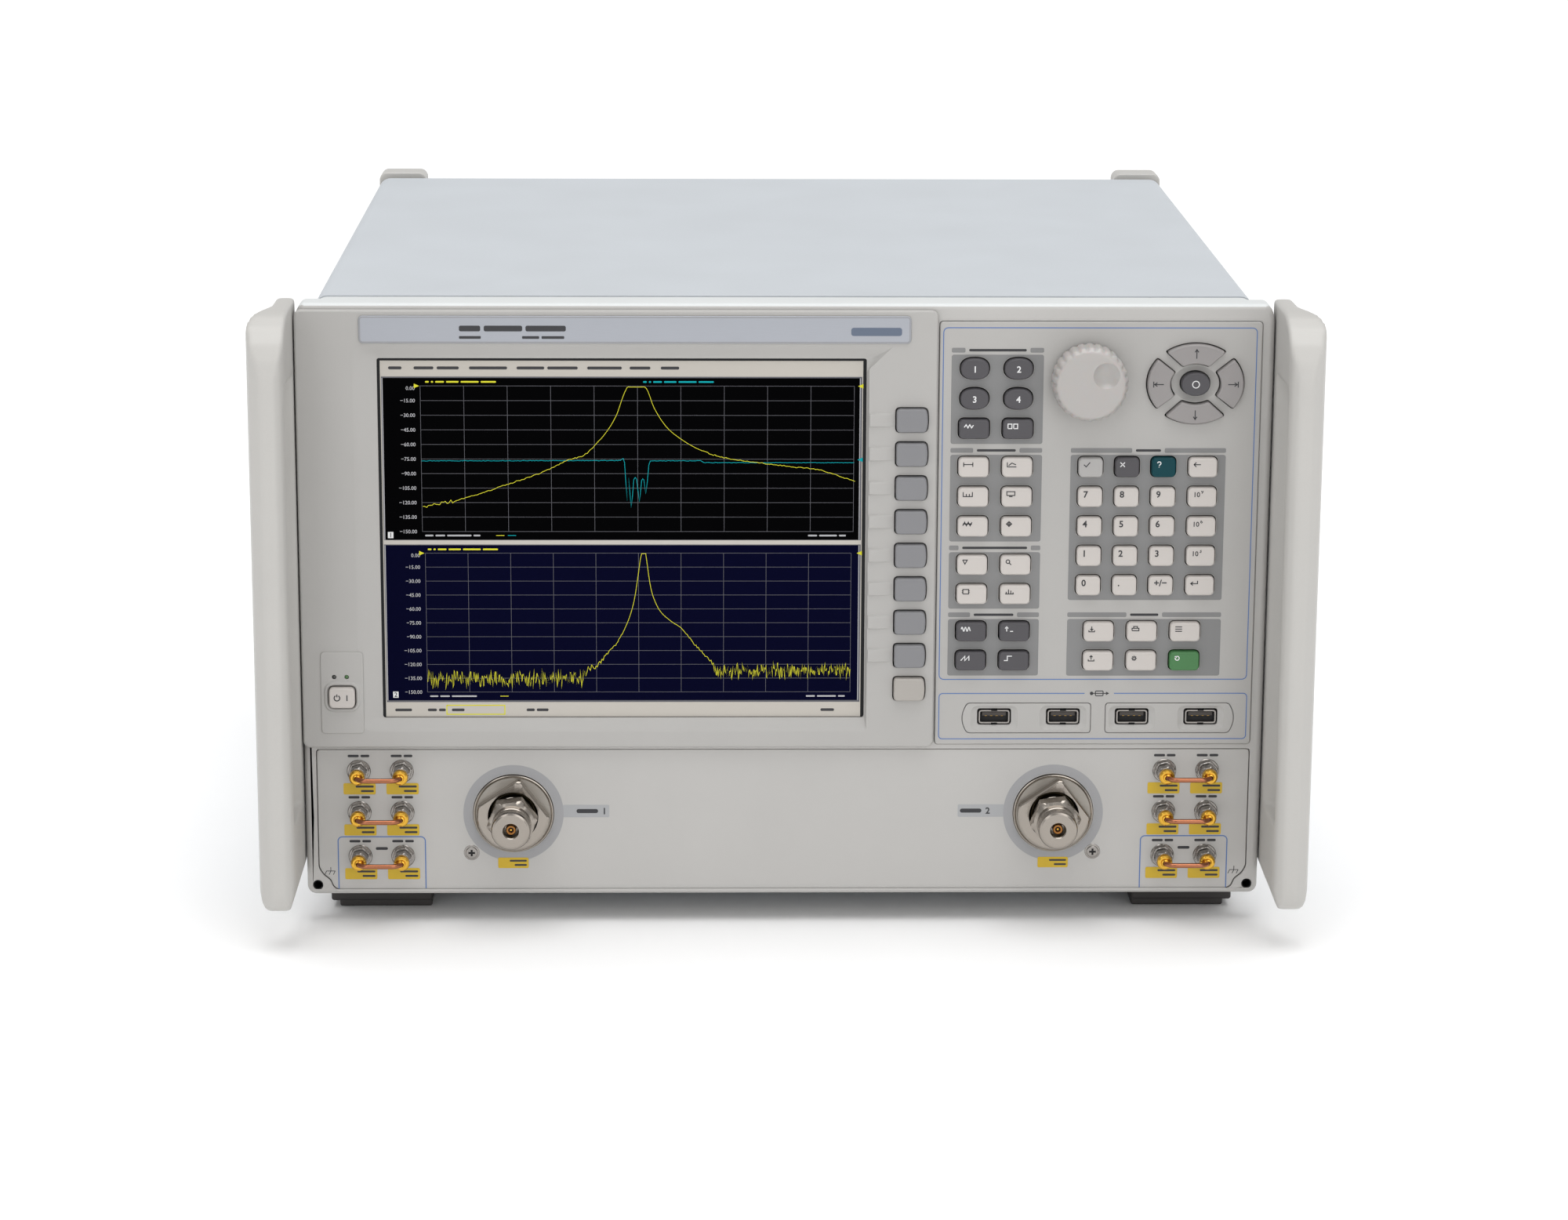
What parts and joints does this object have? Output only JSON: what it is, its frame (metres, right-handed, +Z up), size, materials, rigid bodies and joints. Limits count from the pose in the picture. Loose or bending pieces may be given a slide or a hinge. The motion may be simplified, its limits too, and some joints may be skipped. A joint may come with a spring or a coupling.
{
  "type": "vector network analyzer",
  "caption": "Bench microwave network analyzer: colour screen, soft keys, keypad with knob, lower test port panel with rigid link cables, front handles and feet.",
  "frame": {"origin": "bottom centre of the bounding box: midway between the handles' fronts and the rear bumpers' ends, on the soles of the feet", "axes": "+X to the right as seen from the front, +Y from the front panel to the rear panel, +Z up"},
  "size_m": [0.4596, 0.474, 0.2821],
  "materials": {
    "frame_paint": "fine satin paint, light warm grey",
    "bezel_plastic": "fine-textured moulded plastic, light grey",
    "cover_paint": "smooth satin paint on aluminium sheet, pale blue grey",
    "handle_plastic": "satin moulded plastic, off-white grey",
    "foot_plastic": "matt dark grey moulded plastic",
    "key_ivory": "satin elastomer keys, ivory",
    "key_grey": "satin elastomer keys, dark grey",
    "key_silver": "satin moulded keys, mid grey",
    "knob_plastic": "satin moulded plastic, pale grey",
    "nameplate_silver": "satin printed label, blank, silver grey",
    "screen_glass": null,
    "port_steel": "turned and polished stainless steel",
    "copper": "bare copper tube with gold-plated nuts",
    "socket_metal": "plated steel shells with dark tongues",
    "chassis_steel": "zinc-plated steel sheet",
    "module_alloy": "machined and stamped alloy",
    "circuit_board": "green solder mask",
    "black_plastic": "matt black moulded plastic"
  },
  "bodies": {
    "root": {"front_frame": "frame_paint", "display_bezel": "bezel_plastic", "keypad_panel": "bezel_plastic", "nameplate": "nameplate_silver", "display_module": "screen_glass", "key_board": "circuit_board", "test_port_panel": "frame_paint", "usb_sockets": "socket_metal", "outer_cover": "cover_paint", "chassis": "module_alloy", "rear_panel": "chassis_steel", "power_supply": "module_alloy", "processor_board": "circuit_board", "microwave_deck": "module_alloy", "fan_housing": "black_plastic", "mains_inlet": "black_plastic", "knob_encoder": "chassis_steel", "handle_left": "handle_plastic", "foot_front_left": "foot_plastic", "foot_rear_left": "foot_plastic", "bumper_top_left": "handle_plastic", "bumper_bottom_left": "handle_plastic", "link_left_1": "copper", "link_left_2": "copper", "link_left_3": "copper", "handle_right": "handle_plastic", "foot_front_right": "foot_plastic", "foot_rear_right": "foot_plastic", "bumper_top_right": "handle_plastic", "bumper_bottom_right": "handle_plastic", "link_right_1": "copper", "link_right_2": "copper", "link_right_3": "copper", "port_1_body": "port_steel", "port_2_body": "port_steel"},
    "power_button": {"power_button": "key_ivory"},
    "cursor_up": {"cursor_up": "key_silver"},
    "cursor_left": {"cursor_left": "key_silver"},
    "cursor_down": {"cursor_down": "key_silver"},
    "cursor_right": {"cursor_right": "key_silver"},
    "cursor_click": {"cursor_click": "key_grey"},
    "soft_key_1": {"soft_key_1": "key_silver"},
    "soft_key_2": {"soft_key_2": "key_silver"},
    "soft_key_3": {"soft_key_3": "key_silver"},
    "soft_key_4": {"soft_key_4": "key_silver"},
    "soft_key_5": {"soft_key_5": "key_silver"},
    "soft_key_6": {"soft_key_6": "key_silver"},
    "soft_key_7": {"soft_key_7": "key_silver"},
    "soft_key_8": {"soft_key_8": "key_silver"},
    "soft_key_9": {"soft_key_9": "key_ivory"},
    "trace_channel_keys": {"trace_channel_keys": "key_grey"},
    "response_keys": {"response_keys": "key_ivory"},
    "marker_keys": {"marker_keys": "key_ivory"},
    "stimulus_keys": {"stimulus_keys": "key_grey"},
    "entry_keys": {"entry_keys": "key_ivory"},
    "utility_keys": {"utility_keys": "key_ivory"},
    "knob": {"knob": "knob_plastic"},
    "port_1_nut": {"port_1_nut": "port_steel"},
    "port_2_nut": {"port_2_nut": "port_steel"},
    "fan_rotor": {"fan_rotor": "black_plastic"}
  },
  "joints": [
    {"name": "power_button_press", "type": "slide", "parent": "root", "child": "power_button", "axis": [0, 1, 0], "range_m": [0, 0.0012], "stiffness_N_per_m": 900},
    {"name": "cursor_up_press", "type": "slide", "parent": "root", "child": "cursor_up", "axis": [0, 1, 0], "range_m": [0, 0.0012], "stiffness_N_per_m": 900},
    {"name": "cursor_left_press", "type": "slide", "parent": "root", "child": "cursor_left", "axis": [0, 1, 0], "range_m": [0, 0.0012], "stiffness_N_per_m": 900},
    {"name": "cursor_down_press", "type": "slide", "parent": "root", "child": "cursor_down", "axis": [0, 1, 0], "range_m": [0, 0.0012], "stiffness_N_per_m": 900},
    {"name": "cursor_right_press", "type": "slide", "parent": "root", "child": "cursor_right", "axis": [0, 1, 0], "range_m": [0, 0.0012], "stiffness_N_per_m": 900},
    {"name": "cursor_click_press", "type": "slide", "parent": "root", "child": "cursor_click", "axis": [0, 1, 0], "range_m": [0, 0.0012], "stiffness_N_per_m": 900},
    {"name": "soft_key_1_press", "type": "slide", "parent": "root", "child": "soft_key_1", "axis": [0, 1, 0], "range_m": [0, 0.0012], "stiffness_N_per_m": 900},
    {"name": "soft_key_2_press", "type": "slide", "parent": "root", "child": "soft_key_2", "axis": [0, 1, 0], "range_m": [0, 0.0012], "stiffness_N_per_m": 900},
    {"name": "soft_key_3_press", "type": "slide", "parent": "root", "child": "soft_key_3", "axis": [0, 1, 0], "range_m": [0, 0.0012], "stiffness_N_per_m": 900},
    {"name": "soft_key_4_press", "type": "slide", "parent": "root", "child": "soft_key_4", "axis": [0, 1, 0], "range_m": [0, 0.0012], "stiffness_N_per_m": 900},
    {"name": "soft_key_5_press", "type": "slide", "parent": "root", "child": "soft_key_5", "axis": [0, 1, 0], "range_m": [0, 0.0012], "stiffness_N_per_m": 900},
    {"name": "soft_key_6_press", "type": "slide", "parent": "root", "child": "soft_key_6", "axis": [0, 1, 0], "range_m": [0, 0.0012], "stiffness_N_per_m": 900},
    {"name": "soft_key_7_press", "type": "slide", "parent": "root", "child": "soft_key_7", "axis": [0, 1, 0], "range_m": [0, 0.0012], "stiffness_N_per_m": 900},
    {"name": "soft_key_8_press", "type": "slide", "parent": "root", "child": "soft_key_8", "axis": [0, 1, 0], "range_m": [0, 0.0012], "stiffness_N_per_m": 900},
    {"name": "soft_key_9_press", "type": "slide", "parent": "root", "child": "soft_key_9", "axis": [0, 1, 0], "range_m": [0, 0.0012], "stiffness_N_per_m": 900},
    {"name": "trace_channel_keys_press", "type": "slide", "parent": "root", "child": "trace_channel_keys", "axis": [0, 1, 0], "range_m": [0, 0.0012], "stiffness_N_per_m": 2500},
    {"name": "response_keys_press", "type": "slide", "parent": "root", "child": "response_keys", "axis": [0, 1, 0], "range_m": [0, 0.0012], "stiffness_N_per_m": 2500},
    {"name": "marker_keys_press", "type": "slide", "parent": "root", "child": "marker_keys", "axis": [0, 1, 0], "range_m": [0, 0.0012], "stiffness_N_per_m": 2500},
    {"name": "stimulus_keys_press", "type": "slide", "parent": "root", "child": "stimulus_keys", "axis": [0, 1, 0], "range_m": [0, 0.0012], "stiffness_N_per_m": 2500},
    {"name": "entry_keys_press", "type": "slide", "parent": "root", "child": "entry_keys", "axis": [0, 1, 0], "range_m": [0, 0.0012], "stiffness_N_per_m": 2500},
    {"name": "utility_keys_press", "type": "slide", "parent": "root", "child": "utility_keys", "axis": [0, 1, 0], "range_m": [0, 0.0012], "stiffness_N_per_m": 2500},
    {"name": "knob_turn", "type": "hinge", "parent": "root", "child": "knob", "pos_m": [0.1316, -0.206, 0.2471], "axis": [0, 1, 0], "continuous": true},
    {"name": "port_1_nut_turn", "type": "hinge", "parent": "root", "child": "port_1_nut", "pos_m": [-0.1202, -0.218, 0.0506], "axis": [0, 1, 0], "continuous": true},
    {"name": "port_2_nut_turn", "type": "hinge", "parent": "root", "child": "port_2_nut", "pos_m": [0.1202, -0.218, 0.0506], "axis": [0, 1, 0], "continuous": true},
    {"name": "fan_rotor_turn", "type": "hinge", "parent": "root", "child": "fan_rotor", "pos_m": [0.128, 0.2, 0.209], "axis": [0, 1, 0], "continuous": true}
  ]
}
